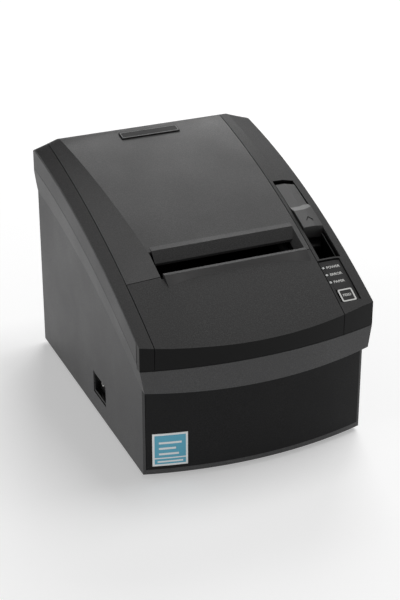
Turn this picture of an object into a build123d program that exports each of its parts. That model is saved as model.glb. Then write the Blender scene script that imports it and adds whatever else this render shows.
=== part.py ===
"""Desktop thermal receipt printer for 80 mm paper, as separate pieces.

Frame: +Z up, the front faces -Y, origin under the middle of the feet.
Lengths are millimetres.
"""
from build123d import *
import math
import os

# ---- driving dimensions -------------------------------------------------
WIDTH = 145.0
DEPTH = 195.0
HEIGHT = 146.0
FOOT_HEIGHT = 3.0
WALL = 2.5
FRONT_BULGE = 10.0
GAP = 0.4
RAIL_GAP = 0.7
RIM = 1.7

HALF = WIDTH / 2
REAR = DEPTH / 2
FRONT = -DEPTH / 2
CORNER_Y = FRONT + FRONT_BULGE

# the top edge of each side is one large arc in the YZ plane
SIDE_ARC_Y = 140.7
SIDE_ARC_Z = -365.0
SIDE_ARC_R = 506.3

# the crowned top: height of the crest at the front, at the middle and at the hinge
CREST_FRONT = 84.4
CREST_MIDDLE = 125.7
PAST_FRONT = FRONT - 12.5

# the paper cover turns about this line, and its rear edge is round about it
HINGE_Y = 85.5
HINGE_Z = 134.0
HINGE_R = HEIGHT - HINGE_Z
HINGE_PIN_R = 2.5
RUNNING = 0.06

# creases of the crown: X at the hinge and how much X changes per millimetre of Y
LEFT_CREASE = -57.0
LEFT_CREASE_SLOPE = -0.1155
RIGHT_CREASE = 57.0
RIGHT_CREASE_SLOPE = -0.0385

# seams
SEAM_DROP = 12.5
FRONT_SEAM_Z = 73.5
COLLAR_DROP = 30.5
FLARE = 3.0
PANEL_SETBACK = 5.0
COLLAR_MIDDLE_Z = 57.0
COLLAR_END_Z = 60.0

# covers
COVER_LEFT = -64.1
COVER_RIGHT = 51.2
RAIL_LEFT = COVER_LEFT - GAP
RAIL_RIGHT = COVER_RIGHT + GAP
COVER_FRONT = -47.0
SLOT_LEFT = -43.5
SLOT_RIGHT = 48.2
UPPER_RIDGE_Y = -28.5
UPPER_EDGE_Y = -34.0
LOWER_BACK_Y = -46.0
LOWER_RIDGE_Y = -48.6
LOWER_BASE_Y = -58.0
LIP_RISE = 2.0
NAME_PLATE_X = -0.5
NAME_PLATE_Y = 78.5
NAME_PLATE = (39.0, 7.6, 1.4)
LIP_DROP = 3.2
LIP_TAIL_Y = UPPER_RIDGE_Y + 5
LIP_EDGE_THICK = 1.4
SLOT_GROOVE = 1.8
SLOT_WALL_SLANT = 3.6

# release lever and its recess
RECESS_X = (53.5, 67.3)
RECESS_Y = (-55.0, 10.5)
RECESS_DEPTH = 11.0
WELL_DEPTH = 17.0
WELL_X = (RECESS_X[0], 65.3)
WELL_Y = (RECESS_Y[0], -33.5)
TRAY_WALL = 0.8
TRAY_TOP = 1.2
LEVER_Y = (-32.5, 7.5)
LEVER_SIDE = 0.5
LEVER_PAD_Y = -19.0
LEVER_PAD_RISE = 1.6
LEVER_RAMP = 7.0
LEVER_PIVOT = (3.5, 121.0)

# control panel
PANEL_X = (51.7, 66.0)
PANEL_BACK = -56.0
PANEL_SINK = 1.0
PANEL_THICK = 2.0
LED_X = 53.2
LED_ROWS = (-60.6, -65.6, -70.7)
LED_R = 0.8
BUTTON_X = 58.8
BUTTON_Y = -80.4
BUTTON_SIZE = 9.6

# roll bay
BAY_R = 42.0
BAY_Y = 24.0
BAY_Z = 66.0
BAY_HALF = 41.5
BAY_WALL = 2.0

# print mechanism
PLATEN_Y = -33.0
PLATEN_Z = 88.0
PLATEN_R = 5.3
SHAFT_R = 2.5
FRAME_IN = 45.2
FRAME_OUT = 46.8
BRACKET_IN = 42.0
BRACKET_OUT = 44.5
MODULE = 0.8
PLATEN_TEETH = 20
IDLER_TEETH = 30
PINION_TEETH = 12
GEAR_X = (-51.0, -47.6)
CENTRE_PLAY = 0.1
IDLER_PIN_R = 2.0
MOTOR_SHAFT_R = 1.5

# power switch in the left side
SWITCH_Y = (-21.0, 0.5)
SWITCH_Z = (14.3, 28.8)
SWITCH_MID_Y = (SWITCH_Y[0] + SWITCH_Y[1]) / 2
SWITCH_MID_Z = (SWITCH_Z[0] + SWITCH_Z[1]) / 2
BEZEL_X = (-69.0, -55.5)
BEZEL_WALL_Y = 1.0
BEZEL_WALL_Z = 1.6
ROCKER_X = -61.0
ROCKER_HALF = 8.6
ROCKER_TALL = 10.6
ROCKER_TILT = 7.0
ROCKER_AXLE_R = 1.0

# rear connectors
BAY_REAR_HALF = 50.0
BAY_REAR_Z = (8.0, 45.0)
PORT_FACE_Y = 80.0
PORT_Z = 24.0
PORT_BACK = 8.0
PORT_STAND = 5.0
# width, height and middle X of each connector
PORTS = {
    "dc_inlet": (14.0, 13.0, 38.0),
    "drawer_port": (14.0, 14.0, 16.0),
    "usb_port": (12.0, 11.0, -2.0),
    "serial_port": (31.0, 12.5, -32.0),
}
SOCKET_DEPTH = 11.0

# feet and boards
FOOT_X = 58.0
FOOT_R = 7.0
FOOT_FRONT_Y = -72.0
FOOT_REAR_Y = 82.0
BOARD_Z = 10.0
BOARD_THICK = 1.6
BUTTON_BOARD_DROP = 8.6

# case openings and label
LABEL_X = (-64.5, -44.5)
LABEL_Z = (8.5, 30.0)
PANEL_HALF = 68.0
PANEL_LOW_Z = FOOT_HEIGHT + 3
FIT = 0.3
BOTTOM_HALF = 62.0
CLEAR_OF_WRAP = 0.6
BACK_CORNER_R = 4.0
BAR_Z = (112, 117)

# print mechanism
MECH_Y = (-62.0, -24.0)
MECH_FLOOR_Z = (71.6, 73.0)
MECH_SIDE_Y = (-62.0, -15.0)
MECH_SIDE_Z = (30.0, 95.0)
HEAD_HALF = 40.0
HEAD_BOARD = 1.55
HEAD_GAP = 0.35
SINK_THICK = 4.5
SPRING_TURN = 0.8
BLADE_HALF = 39.0
MOTOR_R = 15.0


# ---- shared shapes ------------------------------------------------------
def span_box(x, y, z):
    """Box between two X, two Y and two Z values."""
    size = (x[1] - x[0], y[1] - y[0], z[1] - z[0])
    centre = ((x[0] + x[1]) / 2, (y[0] + y[1]) / 2, (z[0] + z[1]) / 2)
    return Pos(*centre) * Box(*size)


def x_cylinder(radius, x, y, z):
    """Cylinder along X between two X values."""
    middle = (x[0] + x[1]) / 2
    return Pos(middle, y, z) * Rot(0, 90, 0) * Cylinder(radius, x[1] - x[0])


def side_z(y):
    """Height of the side's top edge at y."""
    return SIDE_ARC_Z + math.sqrt(SIDE_ARC_R ** 2 - (y - SIDE_ARC_Y) ** 2)


def rim_z(y):
    """Height of the crown where it meets the side."""
    return side_z(y) + RIM


def circle_through(a, b, c):
    """Centre and radius of the circle through three points of a plane."""
    d = 2 * (a[0] * (b[1] - c[1]) + b[0] * (c[1] - a[1]) + c[0] * (a[1] - b[1]))
    sa = a[0] ** 2 + a[1] ** 2
    sb = b[0] ** 2 + b[1] ** 2
    sc = c[0] ** 2 + c[1] ** 2
    x = (sa * (b[1] - c[1]) + sb * (c[1] - a[1]) + sc * (a[1] - b[1])) / d
    y = (sa * (c[0] - b[0]) + sb * (a[0] - c[0]) + sc * (b[0] - a[0])) / d
    return x, y, math.dist((x, y), a)


CREST_CIRCLE = circle_through((FRONT, CREST_FRONT), (0.0, CREST_MIDDLE), (HINGE_Y, HEIGHT))


def crest_z(y):
    """Height of the crown's crest at y."""
    centre_y, centre_z, radius = CREST_CIRCLE
    return centre_z + math.sqrt(radius ** 2 - (y - centre_y) ** 2)


def lengthwise_face(x_at, height, inset):
    """Upright lengthwise section of the crowned block.

    x_at gives X for a Y, height gives the top edge, and inset moves it inwards.
    """
    rear = REAR - inset
    hinge_top = height(HINGE_Y) - inset
    rise = hinge_top - HINGE_Z
    reach = rear - HINGE_Y
    middle_y = (PAST_FRONT + HINGE_Y) / 2
    shoulder_y = HINGE_Y + reach * math.cos(math.pi / 4)
    shoulder_z = HINGE_Z + rise * math.sin(math.pi / 4)

    def point(y, z):
        return (x_at(y), y, z)

    top = ThreePointArc(
        point(PAST_FRONT, height(PAST_FRONT) - inset),
        point(middle_y, height(middle_y) - inset),
        point(HINGE_Y, hinge_top),
    )
    shoulder_point = point(shoulder_y, shoulder_z)
    shoulder = ThreePointArc(point(HINGE_Y, hinge_top), shoulder_point, point(rear, HINGE_Z))
    rest = Polyline(
        point(rear, HINGE_Z),
        point(rear, -20.0),
        point(PAST_FRONT, -20.0),
        point(PAST_FRONT, height(PAST_FRONT) - inset),
    )
    return make_face([top, shoulder, rest])


def crowned_block(inset=0.0):
    """Block under the crowned top, with bevels down to both sides."""
    half = HALF - inset

    def left_crease(y):
        return LEFT_CREASE + LEFT_CREASE_SLOPE * (y - HINGE_Y)

    def right_crease(y):
        return RIGHT_CREASE + RIGHT_CREASE_SLOPE * (y - HINGE_Y)

    sections = [
        lengthwise_face(lambda y: -half, rim_z, inset),
        lengthwise_face(left_crease, crest_z, inset),
        lengthwise_face(right_crease, crest_z, inset),
        lengthwise_face(lambda y: half, rim_z, inset),
    ]
    return loft(sections, ruled=True)


def plan_prism(inset=0.0, front_inset=0.0):
    """Upright prism of the case's outline, with its bowed front."""
    half = HALF - inset
    corner = CORNER_Y + front_inset
    rear = REAR - inset
    bow = ThreePointArc((-half, corner), (0, FRONT + front_inset), (half, corner))
    rest = Polyline((half, corner), (half, rear), (-half, rear), (-half, corner))
    outline = make_face([bow, rest])
    outline = fillet(outline.vertices().sort_by(Axis.Y)[-2:], BACK_CORNER_R)
    return Pos(0, 0, -20) * extrude(outline, 200)


def under_side_arc(drop):
    """Everything below the side's top edge lowered by drop."""
    top = ThreePointArc(
        (0, PAST_FRONT, side_z(PAST_FRONT) - drop),
        (0, 0, side_z(0) - drop),
        (0, REAR + 10, side_z(REAR + 10) - drop),
    )
    rest = Polyline(
        (0, REAR + 10, side_z(REAR + 10) - drop),
        (0, REAR + 10, -30),
        (0, PAST_FRONT, -30),
        (0, PAST_FRONT, side_z(PAST_FRONT) - drop),
    )
    return make_face([top, rest])


def x_prism(face, x):
    """Extrude a face of the YZ plane between two X values."""
    return Pos(x[0], 0, 0) * extrude(face, x[1] - x[0], dir=(1, 0, 0))


def profile_prism(points, x):
    """Prism along X of a polygon given as (Y, Z) points."""
    outline = Polyline([(0, y, z) for y, z in points], close=True)
    return x_prism(make_face(outline), x)


def facing(x, y, z, slope):
    """Plane on the sloping top, its normal square to the surface."""
    tilt = math.atan(slope)
    return Plane(origin=(x, y, z), x_dir=(1, 0, 0), z_dir=(0, -math.sin(tilt), math.cos(tilt)))


def crest_slope(y):
    """Slope of the crest at y."""
    return (crest_z(y + 0.5) - crest_z(y - 0.5))


WIDE = (-HALF - 5, HALF + 5)
TALL = (-30.0, 200.0)
LONG = (PAST_FRONT, REAR + 10)

CROWN = crowned_block()
CROWN_INNER = crowned_block(WALL)
OUTER = CROWN & plan_prism()
INNER = CROWN_INNER & plan_prism(WALL, WALL)
SHELL = OUTER - INNER
BELOW_SEAM_ARC = x_prism(under_side_arc(SEAM_DROP), WIDE)
FRONT_STEP = span_box(WIDE, (PAST_FRONT, CORNER_Y + 4.5), (FRONT_SEAM_Z, 130))
FRONT_FILL = span_box(WIDE, (PAST_FRONT, CORNER_Y + 4.5), (-30, FRONT_SEAM_Z))
BELOW_SEAM = (BELOW_SEAM_ARC - FRONT_STEP) + FRONT_FILL
BELOW_RAIL = x_prism(under_side_arc(0.0), WIDE)


def lowered(shape, drop):
    """The shape moved down."""
    return Pos(0, 0, -drop) * shape


# ---- case ---------------------------------------------------------------
def flare_cut():
    """What the sides lose below the collar, which flares outwards."""
    wedges = []
    for side in (-1, 1):
        inner = Pos(side * (HALF - FLARE), 0, 0) * under_side_arc(COLLAR_DROP)
        outer = Pos(side * (HALF + 0.01), 0, 0) * under_side_arc(SEAM_DROP + 0.5)
        wedges.append(loft([inner, outer], ruled=True))
    return wedges


def collar_front_cut():
    """What the front loses below the collar's drooping lower edge."""
    edge = ThreePointArc(
        (-HALF - 1, PAST_FRONT, COLLAR_END_Z),
        (0, PAST_FRONT, COLLAR_MIDDLE_Z),
        (HALF + 1, PAST_FRONT, COLLAR_END_Z),
    )
    rest = Polyline(
        (HALF + 1, PAST_FRONT, COLLAR_END_Z),
        (HALF + 1, PAST_FRONT, -20),
        (-HALF - 1, PAST_FRONT, -20),
        (-HALF - 1, PAST_FRONT, COLLAR_END_Z),
    )
    return extrude(make_face([edge, rest]), 60, dir=(0, 1, 0))


def make_lower_case():
    """Flared case with a drooping collar, open at the top, the front, the bottom and the rear bay."""
    cavity = plan_prism(FLARE + WALL, PANEL_SETBACK + WALL)
    case = OUTER & BELOW_SEAM
    for wedge in flare_cut():
        case -= wedge
    case -= collar_front_cut() - plan_prism(FLARE, PANEL_SETBACK)
    case -= cavity & span_box(WIDE, LONG, (FOOT_HEIGHT + WALL, 200))
    case -= span_box(WIDE, LONG, (-30, FOOT_HEIGHT))
    bottom = (0, FOOT_HEIGHT + WALL + 1)
    case -= span_box((-BOTTOM_HALF, BOTTOM_HALF), (CORNER_Y + 14, REAR - 10), bottom)
    case -= front_opening(PANEL_HALF, PANEL_LOW_Z, 0.5)
    case -= span_box((-HALF, -60), SWITCH_Y, SWITCH_Z)
    sleeve_z = (BAY_REAR_Z[0] - 2, BAY_REAR_Z[1] + 2)
    case += span_box((-BAY_REAR_HALF - 2, BAY_REAR_HALF + 2), (PORT_FACE_Y, REAR - FLARE), sleeve_z)
    case -= x_cylinder(HINGE_R + CLEAR_OF_WRAP, (RAIL_LEFT, RAIL_RIGHT), HINGE_Y, HINGE_Z)
    case -= span_box((-67, 67), (PAST_FRONT, CORNER_Y + 8.2), (FRONT_SEAM_Z, 100))
    case -= span_box((-BAY_REAR_HALF, BAY_REAR_HALF), (PORT_FACE_Y - 5, REAR + 5), BAY_REAR_Z)
    return case


def front_opening(half, low, drop):
    """Room of the front panel: a block whose top follows the collar's edge, lowered by drop."""
    block = span_box((-half, half), (PAST_FRONT, CORNER_Y + 14), (low, 80))
    return block & lowered(collar_front_cut(), drop)


def make_front_panel():
    """Bowed black panel under the collar."""
    outside = PANEL_SETBACK - 0.8
    skin = plan_prism(FLARE + 1.2, outside) - plan_prism(FLARE + 1.2, outside + WALL)
    return skin & front_opening(PANEL_HALF - FIT, PANEL_LOW_Z + FIT, 0.5 + FIT)


def make_bottom_cover():
    """Flat cover with six vents."""
    half = BOTTOM_HALF - 0.5
    plate = span_box((-half, half), (CORNER_Y + 14.5, REAR - 10.5), (FOOT_HEIGHT, FOOT_HEIGHT + WALL))
    for x in (-40, 40):
        for y in (-50, 0, 50):
            plate -= span_box((x - 12, x + 12), (y - 1.5, y + 1.5), (0, 10))
    return plate


def make_foot(x, y):
    """Round rubber foot."""
    pad = Pos(x, y, FOOT_HEIGHT / 2) * Cylinder(FOOT_R, FOOT_HEIGHT)
    return chamfer(pad.edges().sort_by(Axis.Z)[0], 0.8)


def make_middle_frame():
    """Thin shadow-line frame between the lower case and the rails, with two rear legs and a bar."""
    ring = plan_prism() - plan_prism(WALL)
    frame = (ring & BELOW_RAIL) - BELOW_SEAM_ARC
    frame = lowered(frame, -0.2) & OUTER
    tongue = (plan_prism(WALL - 1) - plan_prism(WALL)) & lowered(BELOW_RAIL, -RAIL_GAP)
    frame += tongue - BELOW_SEAM_ARC
    frame -= span_box(WIDE, (PAST_FRONT, CORNER_Y + 5.0), TALL)
    frame -= span_box((RAIL_LEFT - 2, RAIL_RIGHT + 2), (80, REAR + 1), (120, 150))
    back = REAR - FLARE - WALL - 1.8
    for side in (-1, 1):
        leg_x = sorted((side * 66.2, side * 64.6))
        shoulder_x = sorted((side * 70.5, side * 64.6))
        frame += span_box(leg_x, (back - 2, back), (112, 132))
        frame += span_box(shoulder_x, (back - 2, back), (128, 132))
    frame += span_box((-66.2, 66.2), (back - 4, back), BAR_Z)
    return frame


def make_upper_housing():
    """Left and right rails of the top, with the recesses of the lever, the tray and the panel."""
    above = lowered(BELOW_RAIL, -RAIL_GAP)
    rear_bar = span_box((RAIL_LEFT - 1, RAIL_RIGHT + 1), (70, 80), (112, 115))
    bar_z = (FRONT_SEAM_Z + 0.6, FRONT_SEAM_Z + 3)
    front_bar = span_box((RAIL_LEFT - 1, RAIL_RIGHT + 1), (-82, -79), bar_z)
    front_left = span_box((-HALF, RAIL_LEFT), (PAST_FRONT, CORNER_Y + 4.2), (FRONT_SEAM_Z + 0.3, 130))
    front_right = span_box((RAIL_RIGHT, HALF), (PAST_FRONT, CORNER_Y + 4.2), (FRONT_SEAM_Z + 0.3, 130))
    left = SHELL & span_box((-HALF, RAIL_LEFT), LONG, TALL)
    right = SHELL & span_box((RAIL_RIGHT, HALF), LONG, TALL)
    rails = (left + right) - above
    corners = (left & front_left) + (right & front_right)
    deep_floor = CROWN - lowered(CROWN, RECESS_DEPTH + 2)
    pocket = deep_floor & span_box((RAIL_RIGHT, 69.5), (RECESS_Y[0] - 1.5, RECESS_Y[1] + 2), TALL)
    well_y = (WELL_Y[0] - 1.5, WELL_Y[1] + 1.5)
    well = CROWN - lowered(CROWN, WELL_DEPTH + 2)
    well &= span_box((RAIL_RIGHT, WELL_X[1] + 1.5), well_y, TALL)
    shelf = (CROWN - lowered(CROWN, 5)) & span_box((RAIL_RIGHT, 68), (CORNER_Y + 2, PANEL_BACK), TALL)
    inner_walls = None
    for x in ((RAIL_LEFT - 2, RAIL_LEFT), (RAIL_RIGHT, RAIL_RIGHT + 1.9)):
        wall = span_box(x, (-79.5, HINGE_Y - 7), (70, 150))
        wall += span_box(x, (CORNER_Y + 2.4, -79.5), (FRONT_SEAM_Z + 0.6, 150))
        inner_walls = wall if inner_walls is None else inner_walls + wall
    inner_walls &= CROWN_INNER
    webs = INNER & (
        span_box((-HALF, RAIL_LEFT), (HINGE_Y - 8, HINGE_Y + 2.4), (128, 150))
        + span_box((RAIL_RIGHT, HALF), (HINGE_Y - 8, HINGE_Y + 2.4), (128, 150))
    )
    housing = rails + corners + pocket + well + shelf + inner_walls + webs + rear_bar + front_bar
    housing -= (CROWN - lowered(CROWN, RECESS_DEPTH)) & span_box(RECESS_X, RECESS_Y, TALL)
    housing -= (CROWN - lowered(CROWN, WELL_DEPTH)) & span_box(WELL_X, WELL_Y, TALL)
    sunk = CROWN - lowered(CROWN, PANEL_SINK + PANEL_THICK)
    housing -= sunk & span_box(PANEL_X, (CORNER_Y + 2.5, PANEL_BACK), TALL)
    housing -= x_cylinder(HINGE_R + CLEAR_OF_WRAP, (RAIL_LEFT, RAIL_RIGHT), HINGE_Y, HINGE_Z)
    housing -= x_cylinder(HINGE_PIN_R, (-70, 57), HINGE_Y, HINGE_Z)
    housing -= button_tool(BUTTON_SIZE + 0.6, 12, 6)
    return max(housing.solids(), key=lambda solid: solid.volume)


def button_plane():
    """Plane on the panel's face, square to the feed button."""
    return facing(BUTTON_X, BUTTON_Y, crest_z(BUTTON_Y) - PANEL_SINK, crest_slope(BUTTON_Y))


def button_tool(size, below, above):
    """Square block on the button's own axis, below and above the panel's face."""
    block = Box(size, size, below + above, align=(Align.CENTER, Align.CENTER, Align.MIN))
    return button_plane() * (Pos(0, 0, -below) * block)


def led_tool(row, radius, below, above):
    """Rod on the axis of the status light in a row."""
    plane = facing(LED_X, row, crest_z(row) - PANEL_SINK, crest_slope(row))
    rod = Cylinder(radius, below + above, align=(Align.CENTER, Align.CENTER, Align.MIN))
    return plane * (Pos(0, 0, -below) * rod)


def make_control_panel():
    """Sunken plate with the holes of the button and the three lights."""
    layer = lowered(CROWN, PANEL_SINK) - lowered(CROWN, PANEL_SINK + PANEL_THICK)
    inset_x = (PANEL_X[0] + 0.15, PANEL_X[1] - 0.15)
    panel = layer & span_box(inset_x, (CORNER_Y + 2.7, PANEL_BACK - 0.2), TALL)
    panel -= button_tool(BUTTON_SIZE + 0.5, 6, 6)
    for row in LED_ROWS:
        panel -= led_tool(row, LED_R, 6, 6)
    return panel


def make_led(row):
    """Short light pipe."""
    return led_tool(row, LED_R, PANEL_THICK - 0.2, 0.2)


def make_feed_button():
    """Square cap on a short stem."""
    cap = button_tool(BUTTON_SIZE, 4.0, 0.7)
    cap = chamfer(cap.edges().group_by(Axis.Z)[-1], 0.4)
    stem = button_tool(3.0, 6.0, -3.5)
    return cap + stem


def make_button_board():
    """Small board under the panel with the push switch."""
    board = Box(13.4, 28, 1.2, align=(Align.CENTER, Align.CENTER, Align.MAX))
    switch = Box(6, 6, 1.2, align=(Align.CENTER, Align.CENTER, Align.MIN))
    board += switch
    return button_plane() * (Pos(RAIL_RIGHT + 1.9 + 6.7 - BUTTON_X, 7, -BUTTON_BOARD_DROP) * board)


def make_info_label():
    """Label on the front panel's lower left corner."""
    skin = plan_prism(FLARE + 1.2, PANEL_SETBACK - 1.0) - plan_prism(FLARE + 1.2, PANEL_SETBACK - 0.8)
    return skin & span_box(LABEL_X, (PAST_FRONT, -70), LABEL_Z)


# ---- covers -------------------------------------------------------------
def cover_window(x, y):
    """Column over a rectangle of the top."""
    return span_box(x, y, TALL)


def make_paper_cover():
    """Cover of the paper bay: crowned skin, skirts, rolled hinge edge, bosses and the upper lip."""
    skin = (CROWN - CROWN_INNER) & cover_window((COVER_LEFT, COVER_RIGHT), (COVER_FRONT + 0.2, REAR + 1))
    skin &= span_box(WIDE, LONG, (100, 200))
    skin -= span_box(WIDE, (HINGE_Y, REAR + 1), (90, HINGE_Z))
    skirt_depth = CROWN_INNER - lowered(CROWN_INNER, 6)
    skirt_depth &= span_box(WIDE, (COVER_FRONT + 0.2, HINGE_Y - 13), TALL)
    skirts = skirt_depth & (
        span_box((COVER_LEFT, COVER_LEFT + 2), LONG, TALL)
        + span_box((COVER_RIGHT - 2, COVER_RIGHT), LONG, TALL)
    )
    wrap = x_cylinder(HINGE_R, (COVER_LEFT, COVER_RIGHT), HINGE_Y, HINGE_Z)
    wrap -= x_cylinder(HINGE_R - WALL, (COVER_LEFT, COVER_RIGHT), HINGE_Y, HINGE_Z)
    wrap &= span_box(WIDE, (HINGE_Y, REAR + 1), (HINGE_Z - 6.5, HINGE_Z + 0.1))
    left_boss = x_cylinder(6, (COVER_LEFT, -58), HINGE_Y, HINGE_Z)
    right_boss = x_cylinder(6, (45.4, COVER_RIGHT), HINGE_Y, HINGE_Z)
    left_arm = CROWN_INNER & span_box((COVER_LEFT, -58), (HINGE_Y - 16, HINGE_Y), (HINGE_Z, 150))
    right_arm = CROWN_INNER & span_box((45.4, COVER_RIGHT), (HINGE_Y - 16, HINGE_Y), (HINGE_Z, 150))
    cover = skin + skirts + wrap + left_boss + right_boss + left_arm + right_arm
    cover -= span_box((SLOT_LEFT, SLOT_RIGHT), (COVER_FRONT - 5, UPPER_RIDGE_Y), TALL)
    cover += make_upper_lip() + make_slot_wall()
    cover -= x_cylinder(HINGE_PIN_R + RUNNING, (COVER_LEFT - 1, COVER_RIGHT + 1), HINGE_Y, HINGE_Z)
    cover -= name_plate_block(0.0)
    return cover


LIP_UNDER_Z = crest_z(UPPER_EDGE_Y) - LIP_DROP - LIP_EDGE_THICK


def make_upper_lip():
    """Lip behind the slot: a slanted face that dips below the top, with a groove at its left end."""
    ridge = crest_z(UPPER_RIDGE_Y) + 0.5
    points = [
        (LIP_TAIL_Y, crest_z(LIP_TAIL_Y) - 0.2),
        (UPPER_RIDGE_Y, ridge),
        (UPPER_EDGE_Y, LIP_UNDER_Z + LIP_EDGE_THICK),
        (UPPER_EDGE_Y, LIP_UNDER_Z),
        (LIP_TAIL_Y, crest_z(LIP_TAIL_Y) - WALL),
    ]
    return profile_prism(points, (SLOT_LEFT + SLOT_GROOVE, SLOT_RIGHT))


def slot_wall(y):
    """Slanted wall at the slot's right end, on the plane at y."""
    top = crest_z(y)
    corners = [
        (SLOT_RIGHT + 0.5, y, top - 0.3),
        (SLOT_RIGHT, y, top - 0.1),
        (SLOT_RIGHT - SLOT_WALL_SLANT, y, top - 5.5),
        (SLOT_RIGHT + 0.5, y, top - 5.5),
    ]
    return make_face(Polyline(*corners, close=True))


def make_slot_wall():
    """Slanted right end of the slot, between the two lips."""
    return loft([slot_wall(UPPER_RIDGE_Y + 1), slot_wall(LOWER_BACK_Y + GAP)], ruled=True)


def name_plate_block(clearance):
    """Room of the name plate, half sunk in the cover."""
    plane = facing(NAME_PLATE_X, NAME_PLATE_Y, crest_z(NAME_PLATE_Y), crest_slope(NAME_PLATE_Y))
    return plane * Box(NAME_PLATE[0] - clearance, NAME_PLATE[1] - clearance, NAME_PLATE[2])


def make_name_plate():
    """Blank plate near the cover's rear edge."""
    return name_plate_block(0.3)


def make_platen_bracket(side):
    """Cheek that hangs from the cover and carries one end of the platen."""
    x = (BRACKET_IN, BRACKET_OUT) if side > 0 else (-BRACKET_OUT, -BRACKET_IN)
    low = PLATEN_Z - 4.5
    outline = [
        (PLATEN_Y - 5, low),
        (PLATEN_Y + 6, low),
        (PLATEN_Y + 6, 100.0),
        (PLATEN_Y + 30, 108.0),
        (PLATEN_Y + 30, 140.0),
        (LIP_TAIL_Y + 2, 140.0),
        (LIP_TAIL_Y + 2, 108.0),
        (PLATEN_Y - 5, 101.0),
    ]
    bracket = profile_prism(outline, x) & CROWN_INNER
    return bracket - x_cylinder(SHAFT_R + RUNNING, (x[0] - 1, x[1] + 1), PLATEN_Y, PLATEN_Z)


def make_fixed_blade():
    """Fixed blade above the platen."""
    return span_box((-BRACKET_IN, BRACKET_IN), (-38, -31), (98.2, 99.6))


def make_front_cover():
    """Front cover, with the black band at its front and the lower lip of the slot."""
    window = cover_window((COVER_LEFT, COVER_RIGHT), (PAST_FRONT, COVER_FRONT - 0.2))
    skin = (SHELL & window) - span_box(WIDE, LONG, (-30, FRONT_SEAM_Z + 0.3))
    skirt = CROWN_INNER - lowered(CROWN_INNER, 5)
    skirt &= cover_window((-66, 66), (CORNER_Y + 12, COVER_FRONT - 0.2))
    skin += skirt & (
        span_box((COVER_LEFT, COVER_LEFT + 2), LONG, TALL)
        + span_box((COVER_RIGHT - 2, COVER_RIGHT), LONG, TALL)
    )
    skin -= span_box((SLOT_LEFT, SLOT_RIGHT), (LOWER_RIDGE_Y, COVER_FRONT), TALL)
    return skin + make_lower_lip()


def make_lower_lip():
    """Lip in front of the slot: its face runs out in a shallow arc, deepest at both ends."""
    left = SLOT_LEFT + SLOT_GROOVE
    right = SLOT_RIGHT
    middle = (left + right) / 2
    top_z = crest_z(LOWER_RIDGE_Y) + LIP_RISE
    base_z = crest_z(LOWER_BASE_Y) - 0.8
    ridge = Polyline(
        (left, LOWER_BACK_Y, top_z), (right, LOWER_BACK_Y, top_z),
        (right, LOWER_RIDGE_Y, top_z), (left, LOWER_RIDGE_Y, top_z), close=True)
    back = Polyline(
        (left, LOWER_BASE_Y, base_z), (left, LOWER_BACK_Y, base_z),
        (right, LOWER_BACK_Y, base_z), (right, LOWER_BASE_Y, base_z))
    arc = ThreePointArc(
        (right, LOWER_BASE_Y, base_z), (middle, LOWER_BASE_Y + 5, base_z), (left, LOWER_BASE_Y, base_z))
    return loft([make_face([back, arc]), make_face(ridge)], ruled=True)


# ---- release lever ------------------------------------------------------
def make_release_lever():
    """Flat plate, a ramp and a raised thumb pad, with the pivot's ears under the rear end."""
    x = (RECESS_X[0] + LEVER_SIDE, RECESS_X[1] - LEVER_SIDE)
    ramp_end = LEVER_PAD_Y + LEVER_RAMP
    lever = (lowered(CROWN, -LEVER_PAD_RISE) - lowered(CROWN, 6.0)) & span_box(x, LEVER_Y, TALL)
    above = lowered(CROWN, -5) - lowered(CROWN, 0.5)
    above &= span_box(WIDE, (LEVER_PAD_Y, LEVER_Y[1] + 1), TALL)
    ramp = [
        (LEVER_PAD_Y - 1, crest_z(LEVER_PAD_Y) - 4),
        (LEVER_PAD_Y - 1, crest_z(LEVER_PAD_Y) + LEVER_PAD_RISE + 0.1),
        (LEVER_PAD_Y, crest_z(LEVER_PAD_Y) + LEVER_PAD_RISE + 0.1),
        (ramp_end, crest_z(ramp_end) - 1.0),
        (ramp_end, crest_z(ramp_end) - 4),
    ]
    lever -= above - profile_prism(ramp, WIDE)
    lever += x_cylinder(2.9, x, *LEVER_PIVOT)
    lever -= x_cylinder(1.5 + RUNNING, (x[0] - 1, x[1] + 1), *LEVER_PIVOT)
    return lever


def make_finger_tray():
    """Black tray in front of the lever, open at the back so that a fingertip reaches under the pad."""
    inside_x = (WELL_X[0] + TRAY_WALL, WELL_X[1] - TRAY_WALL)
    inside_y = (WELL_Y[0] + TRAY_WALL, WELL_Y[1] - TRAY_WALL)
    tray = (lowered(CROWN, TRAY_TOP) - lowered(CROWN, WELL_DEPTH)) & span_box(WELL_X, WELL_Y, TALL)
    tray -= (CROWN - lowered(CROWN, WELL_DEPTH - TRAY_WALL)) & span_box(inside_x, inside_y, TALL)
    low_back = span_box(WELL_X, (inside_y[1] - 0.5, WELL_Y[1]), TALL)
    return tray - ((CROWN - lowered(CROWN, RECESS_DEPTH)) & low_back)


def make_lever_pin():
    """Pin across the recess."""
    return x_cylinder(1.5, (RECESS_X[0], RECESS_X[1]), *LEVER_PIVOT)


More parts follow.
